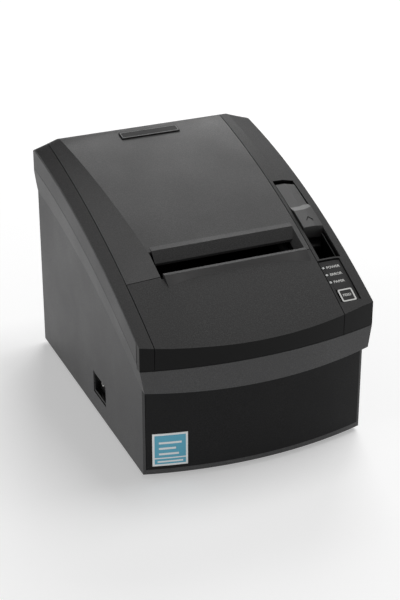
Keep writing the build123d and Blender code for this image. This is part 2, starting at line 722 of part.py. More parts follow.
# ---- roll bay and boards ------------------------------------------------
def make_roll_bucket():
    """Open bucket that holds the paper roll."""
    outer_x = (-BAY_HALF - BAY_WALL, BAY_HALF + BAY_WALL)
    outer = x_cylinder(BAY_R + BAY_WALL, outer_x, BAY_Y, BAY_Z)
    inner = x_cylinder(BAY_R, (-BAY_HALF, BAY_HALF), BAY_Y, BAY_Z)
    upper = span_box(outer_x, (BAY_Y - 20, BAY_Y + BAY_R + BAY_WALL), (BAY_Z, 98))
    room = span_box((-BAY_HALF, BAY_HALF), (BAY_Y - 30, BAY_Y + BAY_R), (BAY_Z, 100))
    bucket = (outer & span_box(WIDE, LONG, (-30, BAY_Z + 8))) + upper
    bucket -= inner
    bucket -= room
    legs = []
    for x in (-36, 36):
        for y in (BAY_Y - 26, BAY_Y + 26):
            legs.append(span_box((x - 3, x + 3), (y - 3, y + 3), (FOOT_HEIGHT + WALL, 36)))
    for leg in legs:
        bucket += leg - x_cylinder(BAY_R + BAY_WALL - 0.5, (-60, 60), BAY_Y, BAY_Z)
    return bucket


def make_main_board():
    """Main board with two chips, on four posts."""
    board = span_box((-30, 30), (-74, -16), (BOARD_Z, BOARD_Z + BOARD_THICK))
    board += span_box((-20, -4), (-60, -44), (11.6, 13.6))
    board += span_box((4, 16), (-64, -52), (11.6, 13.2))
    for x in (-26, 26):
        for y in (-58, -22):
            board += span_box((x - 2.5, x + 2.5), (y - 2.5, y + 2.5), (FOOT_HEIGHT + WALL, BOARD_Z))
    return board


def make_interface_plate():
    """Sheet metal plate with a hole for each connector."""
    plate_z = (BAY_REAR_Z[0] - 2, BAY_REAR_Z[1] + 2)
    plate = span_box((-BAY_REAR_HALF - 2, BAY_REAR_HALF + 2), (PORT_FACE_Y - 1.5, PORT_FACE_Y), plate_z)
    for width, height, x in PORTS.values():
        plate -= span_box((x - width / 2, x + width / 2), (60, 90),
                          (PORT_Z - height / 2, PORT_Z + height / 2))
    return plate


def port_shell(name):
    """Outer block of a connector."""
    width, height, x = PORTS[name]
    shell_y = (PORT_FACE_Y - PORT_BACK, PORT_FACE_Y + PORT_STAND)
    return span_box((x - width / 2, x + width / 2), shell_y, (PORT_Z - height / 2, PORT_Z + height / 2))


def socket_room(name, width, height):
    """Hollow of a connector's socket."""
    x = PORTS[name][2]
    room_y = (PORT_FACE_Y + PORT_STAND - SOCKET_DEPTH, PORT_FACE_Y + PORT_STAND + 1)
    return span_box((x - width / 2, x + width / 2), room_y, (PORT_Z - height / 2, PORT_Z + height / 2))


def make_dc_inlet():
    """Round power inlet with three contacts."""
    x = PORTS["dc_inlet"][2]
    bore = Pos(x, PORT_FACE_Y + 1, PORT_Z) * Rot(90, 0, 0) * Cylinder(4.9, SOCKET_DEPTH)
    inlet = port_shell("dc_inlet") - bore
    for dx, dz in ((-2.2, 0), (2.2, 0), (0, 2.2)):
        inlet += Pos(x + dx, PORT_FACE_Y - 2, PORT_Z + dz) * Rot(90, 0, 0) * Cylinder(0.5, 9)
    return inlet


def make_drawer_port():
    """Cash drawer socket."""
    return port_shell("drawer_port") - socket_room("drawer_port", 10.0, 7.0)


def make_usb_port():
    """Square USB socket with its tongue."""
    x = PORTS["usb_port"][2]
    tongue_z = (PORT_Z + 0.9, PORT_Z + 2.3)
    tongue = span_box((x - 2.8, x + 2.8), (PORT_FACE_Y - 6, PORT_FACE_Y + 3), tongue_z)
    return port_shell("usb_port") - socket_room("usb_port", 8.5, 7.8) + tongue


def make_serial_port():
    """Nine-hole serial connector between two round posts."""
    width, height, x = PORTS["serial_port"]
    port = span_box((x - width / 2, x + width / 2), (PORT_FACE_Y - PORT_BACK, PORT_FACE_Y + 1),
                    (PORT_Z - height / 2, PORT_Z + height / 2))
    nose = span_box((x - 9, x + 9), (PORT_FACE_Y, PORT_FACE_Y + 5.5), (PORT_Z - 4.2, PORT_Z + 4.2))
    nose = chamfer(nose.edges().filter_by(Axis.Y), 1.5)
    for count, z in ((5, 1.4), (4, -1.4)):
        for index in range(count):
            hole_x = x + (index - (count - 1) / 2) * 2.77
            nose -= Pos(hole_x, PORT_FACE_Y + 4.5, PORT_Z + z) * Rot(90, 0, 0) * Cylinder(0.55, 3)
    port += nose
    for dx in (-12.5, 12.5):
        port += Pos(x + dx, PORT_FACE_Y + 3, PORT_Z) * Rot(90, 0, 0) * Cylinder(2.4, 5)
    return port


def make_interface_board():
    """Upright board that carries the connectors."""
    board_y = (PORT_FACE_Y - PORT_BACK - BOARD_THICK, PORT_FACE_Y - PORT_BACK)
    return span_box((-BAY_REAR_HALF, BAY_REAR_HALF), board_y, BAY_REAR_Z)


# ---- power switch -------------------------------------------------------
def make_switch_bezel():
    """Switch body with the rocker's axle."""
    outer_y = (SWITCH_Y[0] + 0.1, SWITCH_Y[1] - 0.1)
    outer_z = (SWITCH_Z[0] + 0.1, SWITCH_Z[1] - 0.1)
    inner_y = (SWITCH_Y[0] + BEZEL_WALL_Y, SWITCH_Y[1] - BEZEL_WALL_Y)
    inner_z = (SWITCH_Z[0] + BEZEL_WALL_Z, SWITCH_Z[1] - BEZEL_WALL_Z)
    bezel = span_box(BEZEL_X, outer_y, outer_z) - span_box((BEZEL_X[0] - 1, -57), inner_y, inner_z)
    axle = Pos(ROCKER_X, SWITCH_MID_Y, SWITCH_MID_Z) * Cylinder(ROCKER_AXLE_R, inner_z[1] - inner_z[0])
    return bezel + axle


def make_power_rocker():
    """Rocker with a hollow on each half, resting tilted."""
    outline = Polyline([
        (-2.0, -3.0), (-5.6, -ROCKER_HALF), (-4.6, 0.0), (-5.6, ROCKER_HALF), (-2.0, 3.0),
        (2.2, 1.6), (2.2, -1.6),
    ], close=True)
    rocker = Pos(0, 0, -ROCKER_TALL / 2) * extrude(make_face(outline), ROCKER_TALL)
    rocker -= Cylinder(ROCKER_AXLE_R + RUNNING, ROCKER_TALL + 2)
    return Pos(ROCKER_X, SWITCH_MID_Y, SWITCH_MID_Z) * Rot(0, 0, -ROCKER_TILT) * rocker


# ---- print mechanism ----------------------------------------------------
PLATEN_ARM = (PLATEN_Y - HINGE_Y, PLATEN_Z - HINGE_Z)
ARM_LENGTH = math.hypot(*PLATEN_ARM)
LIFT = (PLATEN_ARM[1] / ARM_LENGTH, -PLATEN_ARM[0] / ARM_LENGTH)
IDLER_REACH = MODULE * (PLATEN_TEETH + IDLER_TEETH) / 2 + CENTRE_PLAY
IDLER_Y = PLATEN_Y - IDLER_REACH * LIFT[0]
IDLER_Z = PLATEN_Z - IDLER_REACH * LIFT[1]
PINION_REACH = MODULE * (PINION_TEETH + IDLER_TEETH) / 2 + CENTRE_PLAY
PINION_ANGLE = math.atan2(-0.8, -0.6)
PINION_Y = IDLER_Y + PINION_REACH * math.cos(PINION_ANGLE)
PINION_Z = IDLER_Z + PINION_REACH * math.sin(PINION_ANGLE)


def head_plane():
    """Plane of the print head: X along the line, Y the way the platen lifts, Z away from it."""
    return Plane(origin=(0, PLATEN_Y, PLATEN_Z), x_dir=(1, 0, 0), z_dir=(0, -LIFT[1], LIFT[0]))


def head_box(x, y, z):
    """Box in the print head's own frame."""
    return head_plane() * span_box(x, y, z)


def make_thermal_head():
    """Ceramic head board under the platen."""
    start = PLATEN_R + HEAD_GAP
    return head_box((-HEAD_HALF, HEAD_HALF), (-8, 6), (start, start + HEAD_BOARD))


def make_heat_sink():
    """Finned bar behind the head."""
    start = PLATEN_R + HEAD_GAP + HEAD_BOARD
    sink = head_box((-HEAD_HALF, HEAD_HALF), (-8, 5), (start, start + SINK_THICK))
    for index in range(3):
        low = -6.5 + index * 4.2
        sink -= head_box((-HEAD_HALF - 1, HEAD_HALF + 1), (low, low + 1.6), (start + 2.5, start + 5.1))
    return sink


def make_head_spring(x):
    """Stepped stand-in for a coil spring between the sink and the frame."""
    start = PLATEN_R + HEAD_GAP + HEAD_BOARD + SINK_THICK
    spring = None
    for index in range(4):
        radius = 2.4 - 0.3 * (index % 2)
        turn = Pos(x, -1.5, start + (index + 0.5) * SPRING_TURN) * Cylinder(radius, SPRING_TURN)
        spring = turn if spring is None else spring + turn
    return head_plane() * spring


def make_mech_frame():
    """Two side plates joined by a floor and a front wall, on legs, with the spring posts."""
    frame = span_box((-FRAME_IN, FRAME_IN), MECH_Y, MECH_FLOOR_Z)
    frame += span_box((-FRAME_IN, FRAME_IN), (MECH_Y[0], MECH_Y[0] + 1.5), (60, MECH_SIDE_Z[1]))
    for x in ((-FRAME_OUT, -FRAME_IN), (FRAME_IN, FRAME_OUT)):
        frame += span_box(x, MECH_SIDE_Y, MECH_SIDE_Z)
        frame -= span_box((x[0] - 0.1, x[1] + 0.1), (-23, -10), (84, 100))
        frame += span_box(x, (MECH_Y[0], -40), (FOOT_HEIGHT + WALL, MECH_SIDE_Z[0]))
    for x in (-30, 30):
        frame += head_plane() * (Pos(x, -1.5, PLATEN_R + 13.0) * Cylinder(3, 6.0))
        frame += span_box((x - 2, x + 2), (-61, -50), (MECH_FLOOR_Z[1], 80.0))
    frame -= head_box((-FRAME_OUT - 1, FRAME_OUT + 1), (0, 20), (-3.1, 2.9))
    frame -= x_cylinder(3.1, (-FRAME_OUT - 1, FRAME_OUT + 1), PLATEN_Y, PLATEN_Z)
    shaft_hole_x = (-FRAME_OUT - 1, -FRAME_IN + 1)
    return frame - x_cylinder(MOTOR_SHAFT_R + 0.8, shaft_hole_x, PINION_Y, PINION_Z)


def gear(teeth, x, bore, phase):
    """Spur gear along X at the origin, one tooth centred at angle phase in the YZ plane."""
    pitch = MODULE * teeth / 2
    root = pitch - 1.0 * MODULE - 0.15
    tip = pitch + 0.9 * MODULE
    tooth_pitch = math.pi * MODULE
    base_half = 0.29 * tooth_pitch
    tip_half = 0.10 * tooth_pitch
    wheel = x_cylinder(root, x, 0, 0)
    tooth = profile_prism(
        [(root - 0.4, -base_half), (tip, -tip_half), (tip, tip_half), (root - 0.4, base_half)], x)
    for index in range(teeth):
        angle = phase + 360 * index / teeth
        wheel += Rot(angle, 0, 0) * tooth
    return wheel - x_cylinder(bore, (x[0] - 1, x[1] + 1), 0, 0)


LIFT_ANGLE = math.degrees(math.atan2(LIFT[1], LIFT[0]))


def make_platen_gear():
    """Gear on the platen shaft."""
    return Pos(0, PLATEN_Y, PLATEN_Z) * gear(PLATEN_TEETH, GEAR_X, SHAFT_R, LIFT_ANGLE + 180)


def make_idler_gear():
    """Gear between the platen and the motor."""
    gap_phase = LIFT_ANGLE + 180 / IDLER_TEETH
    return Pos(0, IDLER_Y, IDLER_Z) * gear(IDLER_TEETH, GEAR_X, IDLER_PIN_R + RUNNING, gap_phase)


def make_motor_pinion():
    """Pinion whose teeth meet the gaps of the idler."""
    toward_pinion = math.degrees(PINION_ANGLE)
    idler_phase = LIFT_ANGLE + 180 / IDLER_TEETH
    pitch_angle = 360 / IDLER_TEETH
    offset = (toward_pinion - idler_phase) / pitch_angle
    fraction = offset - math.floor(offset)
    back = toward_pinion + 180
    phase = back + (0.5 + fraction) * 360 / PINION_TEETH
    return Pos(0, PINION_Y, PINION_Z) * gear(PINION_TEETH, GEAR_X, MOTOR_SHAFT_R + RUNNING, phase)


def make_platen_shaft():
    """Steel shaft of the platen."""
    return x_cylinder(SHAFT_R, (GEAR_X[0], 48.2), PLATEN_Y, PLATEN_Z)


def make_platen_roller():
    """Rubber sleeve on the shaft."""
    roller = x_cylinder(PLATEN_R, (-40.8, 40.8), PLATEN_Y, PLATEN_Z)
    return roller - x_cylinder(SHAFT_R, (-50, 50), PLATEN_Y, PLATEN_Z)


def make_idler_pin():
    """Headed pin of the idler."""
    pin = x_cylinder(IDLER_PIN_R, (-51.6, -FRAME_OUT), IDLER_Y, IDLER_Z)
    return pin + x_cylinder(IDLER_PIN_R + 1.2, (-52.4, -51.3), IDLER_Y, IDLER_Z)


def make_stepper_motor():
    """Round motor with its shaft."""
    motor = x_cylinder(MOTOR_R, (-FRAME_IN, -23), PINION_Y, PINION_Z)
    motor += x_cylinder(5, (-23, -21), PINION_Y, PINION_Z)
    return motor + x_cylinder(MOTOR_SHAFT_R, (-51.2, -FRAME_IN), PINION_Y, PINION_Z)


def make_cutter_frame():
    """Plate over the mechanism, with a guide at each side."""
    frame = span_box((-FRAME_OUT, FRAME_OUT), (-62, -48), (95, 96.4))
    for side in (-1, 1):
        x = (39.3, 41.3) if side > 0 else (-41.3, -39.3)
        frame += span_box(x, (-60, -49), (96.4, 98.2))
        lip_x = (37.3, 41.3) if side > 0 else (-41.3, -37.3)
        frame += span_box(lip_x, (-58, -49), (97.7, 98.6))
    return frame


def make_cutter_blade():
    """Sliding blade with a bevelled edge."""
    blade = span_box((-BLADE_HALF, BLADE_HALF), (-60, -47), (96.6, 97.5))
    edge = [(-47.9, 97.5), (-46, 96.9), (-46, 98)]
    return blade - profile_prism(edge, (-BLADE_HALF - 1, BLADE_HALF + 1))


def make_cutter_motor():
    """Small motor of the cutter and its gearbox."""
    return x_cylinder(6, (6, 34), -69, 80) + span_box((2, 6), (-74, -62), (74, 92))


def make_hinge_pin(side):
    """Steel pin between the cover's boss and the housing."""
    x = (-69.0, -58.5) if side < 0 else (46.0, 56.5)
    return x_cylinder(HINGE_PIN_R, x, HINGE_Y, HINGE_Z)


def make_sensor():
    """Paper sensor behind the platen."""
    return span_box((-8, 2), (-26, -22.4), (74, 82))


# ---- everything, by node name ------------------------------------------
NODES = {
    "lower_case": make_lower_case,
    "front_panel": make_front_panel,
    "bottom_cover": make_bottom_cover,
    "foot_front_left": lambda: make_foot(-FOOT_X, FOOT_FRONT_Y),
    "foot_front_right": lambda: make_foot(FOOT_X, FOOT_FRONT_Y),
    "foot_rear_left": lambda: make_foot(-FOOT_X, FOOT_REAR_Y),
    "foot_rear_right": lambda: make_foot(FOOT_X, FOOT_REAR_Y),
    "middle_frame": make_middle_frame,
    "upper_housing": make_upper_housing,
    "control_panel": make_control_panel,
    "led_power": lambda: make_led(LED_ROWS[0]),
    "led_error": lambda: make_led(LED_ROWS[1]),
    "led_paper": lambda: make_led(LED_ROWS[2]),
    "feed_button": make_feed_button,
    "button_board": make_button_board,
    "info_label": make_info_label,
    "paper_cover": make_paper_cover,
    "name_plate": make_name_plate,
    "platen_bracket_left": lambda: make_platen_bracket(-1),
    "platen_bracket_right": lambda: make_platen_bracket(1),
    "fixed_blade": make_fixed_blade,
    "front_cover": make_front_cover,
    "release_lever": make_release_lever,
    "finger_tray": make_finger_tray,
    "lever_pin": make_lever_pin,
    "roll_bucket": make_roll_bucket,
    "main_board": make_main_board,
    "interface_plate": make_interface_plate,
    "interface_board": make_interface_board,
    "dc_inlet": make_dc_inlet,
    "drawer_port": make_drawer_port,
    "usb_port": make_usb_port,
    "serial_port": make_serial_port,
    "switch_bezel": make_switch_bezel,
    "power_rocker": make_power_rocker,
    "mech_frame": make_mech_frame,
    "thermal_head": make_thermal_head,
    "heat_sink": make_heat_sink,
    "head_spring_left": lambda: make_head_spring(-30),
    "head_spring_right": lambda: make_head_spring(30),
    "platen_shaft": make_platen_shaft,
    "platen_roller": make_platen_roller,
    "platen_gear": make_platen_gear,
    "idler_gear": make_idler_gear,
    "idler_pin": make_idler_pin,
    "motor_pinion": make_motor_pinion,
    "stepper_motor": make_stepper_motor,
    "cutter_frame": make_cutter_frame,
    "cutter_blade": make_cutter_blade,
    "cutter_motor": make_cutter_motor,
    "hinge_pin_left": lambda: make_hinge_pin(-1),
    "hinge_pin_right": lambda: make_hinge_pin(1),
    "paper_sensor": make_sensor,
}


def main():
    """Build every piece and write its file."""
    os.makedirs("parts", exist_ok=True)
    for name, make in NODES.items():
        shape = make()
        export_step(shape, f"parts/{name}.step")


if __name__ == "__main__":
    main()
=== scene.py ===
"""Looks of the desktop receipt printer: materials, printed marks, small fittings, light and camera.

Lengths are metres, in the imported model's own frame: +Z up, the front faces -Y.
"""
import math

import bmesh
import bpy
from mathutils import Matrix, Vector


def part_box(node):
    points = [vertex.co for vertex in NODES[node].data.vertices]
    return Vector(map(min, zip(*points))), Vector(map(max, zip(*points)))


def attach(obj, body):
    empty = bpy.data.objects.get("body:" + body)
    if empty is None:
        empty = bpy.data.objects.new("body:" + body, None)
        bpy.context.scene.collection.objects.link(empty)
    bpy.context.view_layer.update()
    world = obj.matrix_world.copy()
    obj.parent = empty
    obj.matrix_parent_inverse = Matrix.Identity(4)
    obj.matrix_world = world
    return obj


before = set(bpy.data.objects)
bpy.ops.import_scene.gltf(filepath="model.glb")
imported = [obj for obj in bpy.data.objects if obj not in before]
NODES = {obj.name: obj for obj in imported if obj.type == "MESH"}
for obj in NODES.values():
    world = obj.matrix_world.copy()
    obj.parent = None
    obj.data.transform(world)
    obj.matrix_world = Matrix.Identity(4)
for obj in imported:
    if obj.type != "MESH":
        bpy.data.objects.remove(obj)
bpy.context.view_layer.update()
MM = 0.001

# ---- camera and stage ----------------------------------------------------
CAMERA_AZIMUTH = -23.0
CAMERA_ELEVATION = 27.0
CAMERA_DISTANCE = 1.0
CAMERA_LENS = 98.0
CAMERA_TARGET = Vector((0.0, -0.002, 0.064))

# ---- colours, linear -----------------------------------------------------
CASE_GREY = (0.043, 0.043, 0.044)
COVER_GREY = (0.030, 0.0295, 0.0295)
# painted shade: near black for the covers' skin where it turns down in front, away from the lights
FRONT_SHADE_BLACK = (0.002, 0.002, 0.0021)
# painted shade: the case's plastic made near black for the front panel, which faces away from the
# lights
PANEL_SHADE_BLACK = (0.010, 0.010, 0.0105)
# painted shade: near black standing in for the shade in the slot and the finger pocket
SHADE_BLACK = (0.001, 0.001, 0.001)
INK_WHITE = (0.75, 0.75, 0.73)
LABEL_BLUE = (0.10, 0.42, 0.58)
LABEL_WHITE = (0.86, 0.88, 0.88)

# ---- surface texture, and painted shade and highlight on the covers ------
GRAIN = 1500.0                  # spark texture, cells per metre
SPECKLE = 0.22                  # its change of tone
SPECKLE_RANGE = (0.42, 0.66)    # part of the grain's noise that shows as speckle
CLOUD = 22.0                    # slow changes of tone and gloss, cells per metre
SHADE_TURN = (-0.93, -0.86)      # the skin's forward tilt where painted shade darkens it, full to none
HIGHLIGHT_TURN = (-0.66, -0.56)    # and where a painted highlight lightens the edge above it
# how far the painted highlight lightens that edge
HIGHLIGHT_TONE = 2.6
FLAT_SPECULAR = 0.15

# ---- printed marks -------------------------------------------------------
INK_HEIGHT = 0.03 * MM
INK_SPREAD = 0.035 * MM         # thickens the letters
INK_ROOT = -0.02 * MM           # how deep a printed ring starts under its surface
BAR_ROOT = -0.05 * MM
BAR_CORNER = 0.1 * MM
FILM_ROOT = 0.03 * MM
FILM_LIFT = 0.04 * MM
PRINT_LIFT = 0.07 * MM

# ---- lights: name, place, target, size in metres, power in watts ---------
LIGHTS = (
    ("key", (1.0, 1.7, 1.35), (0, 0, 0.08), 1.0, 19.0),
    ("left_fill", (-1.8, -0.15, 0.15), (0, 0, 0.06), 0.8, 15.0),
    ("top", (0.9, 0.2, 2.1), (0, 0, 0.0), 1.3, 22.0),
)
WORLD_STRENGTH = 0.20
FLOOR_HALF = 6.0
FLOOR_GLOW = 0.35               # a floor lit from below, so that its shadows stay pale


# ---- material helpers ----------------------------------------------------
class Shader:
    """A node material around one Principled shader."""

    def __init__(self, name, colour, roughness, metallic=0.0, specular=0.5):
        self.material = bpy.data.materials.new(name)
        self.material.use_nodes = True
        self.tree = self.material.node_tree
        self.surface = self.tree.nodes["Principled BSDF"]
        self.surface.inputs["Base Color"].default_value = (*colour, 1.0)
        self.surface.inputs["Roughness"].default_value = roughness
        self.surface.inputs["Metallic"].default_value = metallic
        self.surface.inputs["Specular IOR Level"].default_value = specular
        self.place = self.add("ShaderNodeTexCoord").outputs["Object"]

    def add(self, kind, **settings):
        """New node of a kind, with its settings."""
        node = self.tree.nodes.new(kind)
        for key, value in settings.items():
            setattr(node, key, value)
        return node

    def link(self, source, target):
        """Joins an output to an input."""
        self.tree.links.new(source, target)

    def stretched(self, scale):
        """Object coordinates scaled along each axis."""
        mapping = self.add("ShaderNodeMapping")
        mapping.inputs["Scale"].default_value = scale
        self.link(self.place, mapping.inputs["Vector"])
        return mapping.outputs["Vector"]

    def noise(self, scale, detail=2.0, roughness=0.5, vector=None):
        """Noise with so many cells per metre."""
        node = self.add("ShaderNodeTexNoise")
        node.inputs["Scale"].default_value = scale
        node.inputs["Detail"].default_value = detail
        node.inputs["Roughness"].default_value = roughness
        self.link(vector or self.place, node.inputs["Vector"])
        return node.outputs["Fac"]

    def spread(self, value, low, high, start=0.3, stop=0.7):
        """Maps start..stop of a value to low..high."""
        node = self.add("ShaderNodeMapRange")
        node.inputs["From Min"].default_value = start
        node.inputs["From Max"].default_value = stop
        node.inputs["To Min"].default_value = low
        node.inputs["To Max"].default_value = high
        self.link(value, node.inputs["Value"])
        return node.outputs["Result"]

    def blend(self, factor, first, second):
        """Mixes two colours or colour outputs."""
        node = self.add("ShaderNodeMix", data_type="RGBA")
        self.link(factor, node.inputs["Factor"])
        for key, colour in (("A", first), ("B", second)):
            socket = [s for s in node.inputs if s.name == key and s.type == "RGBA"][0]
            if isinstance(colour, tuple):
                socket.default_value = (*colour, 1.0)
            else:
                self.link(colour, socket)
        return [s for s in node.outputs if s.type == "RGBA"][0]

    def paint(self, colour):
        """Joins a colour output to the surface."""
        self.link(colour, self.surface.inputs["Base Color"])

    def gloss(self, roughness):
        """Joins a roughness output to the surface."""
        self.link(roughness, self.surface.inputs["Roughness"])

    def bump(self, height, distance, strength, under=None):
        """Normals of a height, over the normals of a coarser bump if there is one."""
        node = self.add("ShaderNodeBump")
        node.inputs["Strength"].default_value = strength
        node.inputs["Distance"].default_value = distance
        self.link(height, node.inputs["Height"])
        if under is not None:
            self.link(under, node.inputs["Normal"])
        return node.outputs["Normal"]

    def relief(self, normal):
        """Joins normals to the surface."""
        self.link(normal, self.surface.inputs["Normal"])


def shade(colour, factor):
    """Colour made darker or lighter by a factor."""
    return tuple(channel * factor for channel in colour)


def worn_tone(shader, colour, grains, cloud, speckle):
    """Colour with fine speckle from the grains and slow changes from the cloud."""
    fine = shader.spread(grains, 0.0, 1.0, *SPECKLE_RANGE)
    tone = shader.blend(fine, shade(colour, 1.0 - speckle), shade(colour, 1.0 + 2 * speckle))
    return shader.blend(shader.spread(cloud, 0.0, 0.5), tone, shade(colour, 1.10))


def moulded_plastic(name, colour, roughness, grain, depth, speckle, specular=0.5):
    """Spark-textured moulding: fine bumps, faint speckle, slow changes of tone and gloss."""
    shader = Shader(name, colour, roughness, specular=specular)
    grains = shader.noise(grain, 2.0, 0.55)
    cloud = shader.noise(CLOUD, 3.0, 0.6)
    shader.paint(worn_tone(shader, colour, grains, cloud, speckle))
    shader.gloss(shader.spread(cloud, roughness - 0.05, roughness + 0.05))
    waves = shader.bump(shader.noise(160.0, 1.0), 0.00003, 0.25)
    shader.relief(shader.bump(grains, depth, 0.55, waves))
    return shader.material


def front_shaded_plastic(name, colour, shade_colour):
    """The covers' textured plastic, with painted shade, near black, glossier and smoother, where the
    skin turns down in front, and a painted highlight on the edge above it.
    """
    shader = Shader(name, colour, 0.5, specular=FLAT_SPECULAR)
    turn = shader.add("ShaderNodeSeparateXYZ")
    shader.link(shader.add("ShaderNodeTexCoord").outputs["Normal"], turn.inputs["Vector"])
    # painted shade: faces that turn down in front are blended to near black
    shade_mask = shader.spread(turn.outputs["Y"], 1.0, 0.0, *SHADE_TURN)
    highlight_mask = shader.spread(turn.outputs["Y"], 1.0, 0.0, *HIGHLIGHT_TURN)
    grains = shader.noise(GRAIN, 2.0, 0.55)
    worn = worn_tone(shader, colour, grains, shader.noise(CLOUD, 3.0, 0.6), SPECKLE)
    # painted highlight: the edge above the front turn is made lighter
    highlighted = shader.blend(highlight_mask, worn, shade(colour, HIGHLIGHT_TONE))
    shader.paint(shader.blend(shade_mask, highlighted, shade_colour))
    shader.gloss(shader.spread(shade_mask, 0.50, 0.36, 0.0, 1.0))
    depth = shader.add("ShaderNodeMath", operation="MULTIPLY")
    shader.link(grains, depth.inputs[0])
    shader.link(shader.spread(shade_mask, 1.0, 0.15, 0.0, 1.0), depth.inputs[1])
    shader.relief(shader.bump(depth.outputs["Value"], 0.00010, 0.6))
    return shader.material


def smooth_plastic(name, colour, roughness, specular=0.5):
    """Polished moulding with faint ripples, fine scratches and a little dust."""
    shader = Shader(name, colour, roughness, specular=specular)
    dust = shader.noise(1400.0, 4.0, 0.7)
    scratches = shader.noise(60.0, 4.0, 0.6, shader.stretched((30.0, 1.0, 6.0)))
    dusty = shader.blend(shader.spread(dust, 0.0, 0.35, 0.62, 0.8), colour, shade(colour, 2.2))
    shader.paint(dusty)
    shader.gloss(shader.spread(scratches, roughness - 0.04, roughness + 0.06))
    shader.relief(shader.bump(shader.noise(260.0, 2.0), 0.00003, 0.2))
    return shader.material


def brushed_metal(name, colour, roughness, along=(1.0, 40.0, 40.0)):
    """Sheet metal with drawn lines along one axis."""
    shader = Shader(name, colour, roughness, metallic=1.0)
    lines = shader.noise(70.0, 5.0, 0.65, shader.stretched(along))
    stain = shader.noise(40.0, 3.0)
    tone = shader.blend(shader.spread(lines, 0.0, 1.0), shade(colour, 0.8), shade(colour, 1.1))
    shader.paint(shader.blend(shader.spread(stain, 0.0, 0.4), tone, shade(colour, 0.7)))
    shader.gloss(shader.spread(lines, roughness - 0.08, roughness + 0.12))
    shader.relief(shader.bump(lines, 0.00002, 0.5))
    return shader.material


def rubber(name, colour):
    """Matte rubber with a fine ground surface."""
    shader = Shader(name, colour, 0.85, specular=0.3)
    grains = shader.noise(3200.0, 3.0, 0.6)
    dust = shader.noise(90.0, 4.0, 0.65)
    shader.paint(shader.blend(shader.spread(dust, 0.0, 0.6, 0.45, 0.75), colour, shade(colour, 2.0)))
    shader.gloss(shader.spread(dust, 0.78, 0.92))
    shader.relief(shader.bump(grains, 0.00008, 0.7))
    return shader.material


def circuit_board(name):
    """Green solder mask over copper tracks, with tinned pads."""
    shader = Shader(name, (0.02, 0.12, 0.05), 0.35)
    tracks = shader.add("ShaderNodeTexWave", wave_type="BANDS", bands_direction="DIAGONAL")
    tracks.inputs["Scale"].default_value = 120.0
    tracks.inputs["Distortion"].default_value = 9.0
    tracks.inputs["Detail"].default_value = 1.0
    shader.link(shader.place, tracks.inputs["Vector"])
    pads = shader.add("ShaderNodeTexVoronoi", feature="F1")
    pads.inputs["Scale"].default_value = 230.0
    shader.link(shader.place, pads.inputs["Vector"])
    lines = shader.spread(tracks.outputs["Fac"], 0.0, 1.0, 0.52, 0.6)
    green = shader.blend(lines, (0.012, 0.085, 0.035), (0.025, 0.16, 0.06))
    dots = shader.spread(pads.outputs["Distance"], 1.0, 0.0, 0.16, 0.2)
    shader.paint(shader.blend(dots, green, (0.55, 0.56, 0.55)))
    shader.gloss(shader.spread(dots, 0.35, 0.22, 0.0, 1.0))
    shader.relief(shader.bump(lines, 0.00004, 0.6))
    return shader.material


def printed_ink(name, colour):
    """Screen-printed ink, a little uneven."""
    shader = Shader(name, colour, 0.55)
    body = shader.noise(4000.0, 2.0)
    shader.paint(shader.blend(shader.spread(body, 0.0, 0.5), colour, shade(colour, 0.82)))
    shader.gloss(shader.spread(body, 0.48, 0.62))
    shader.relief(shader.bump(body, 0.00002, 0.3))
    return shader.material


def label_film(name, colour):
    """Glossy label film with a faint paper grain."""
    shader = Shader(name, colour, 0.32)
    body = shader.noise(900.0, 3.0)
    shader.paint(shader.blend(shader.spread(body, 0.0, 0.3), colour, shade(colour, 0.88)))
    shader.gloss(shader.spread(body, 0.26, 0.38))
    shader.relief(shader.bump(shader.noise(120.0, 2.0), 0.00006, 0.3))
    return shader.material


def light_lens(name, colour):
    """Clear-topped light pipe, unlit."""
    shader = Shader(name, colour, 0.18)
    core = shader.noise(1600.0, 1.0)
    shader.paint(shader.blend(shader.spread(core, 0.0, 1.0), colour, shade(colour, 0.7)))
    shader.surface.inputs["Coat Weight"].default_value = 0.6
    shader.surface.inputs["Coat Roughness"].default_value = 0.08
    return shader.material


CASE = moulded_plastic("case_plastic", CASE_GREY, 0.52, GRAIN, 0.00010, SPECKLE)
COVER = moulded_plastic("cover_plastic", COVER_GREY, 0.50, GRAIN, 0.00010, SPECKLE, 0.3)
SKIN = front_shaded_plastic("cover_plastic_front_shade", COVER_GREY, FRONT_SHADE_BLACK)
# painted shade: a darker plastic stands in for the shade on the front panel; the bottom cover shares
# it
PANEL = moulded_plastic("panel_plastic_painted_shade", PANEL_SHADE_BLACK, 0.55, GRAIN, 0.00008, SPECKLE, 0.15)
KEY_GREY = shade(COVER_GREY, 0.62)
KEYS = moulded_plastic("panel_insert_plastic", KEY_GREY, 0.50, 3000.0, 0.00004, 0.08, FLAT_SPECULAR)
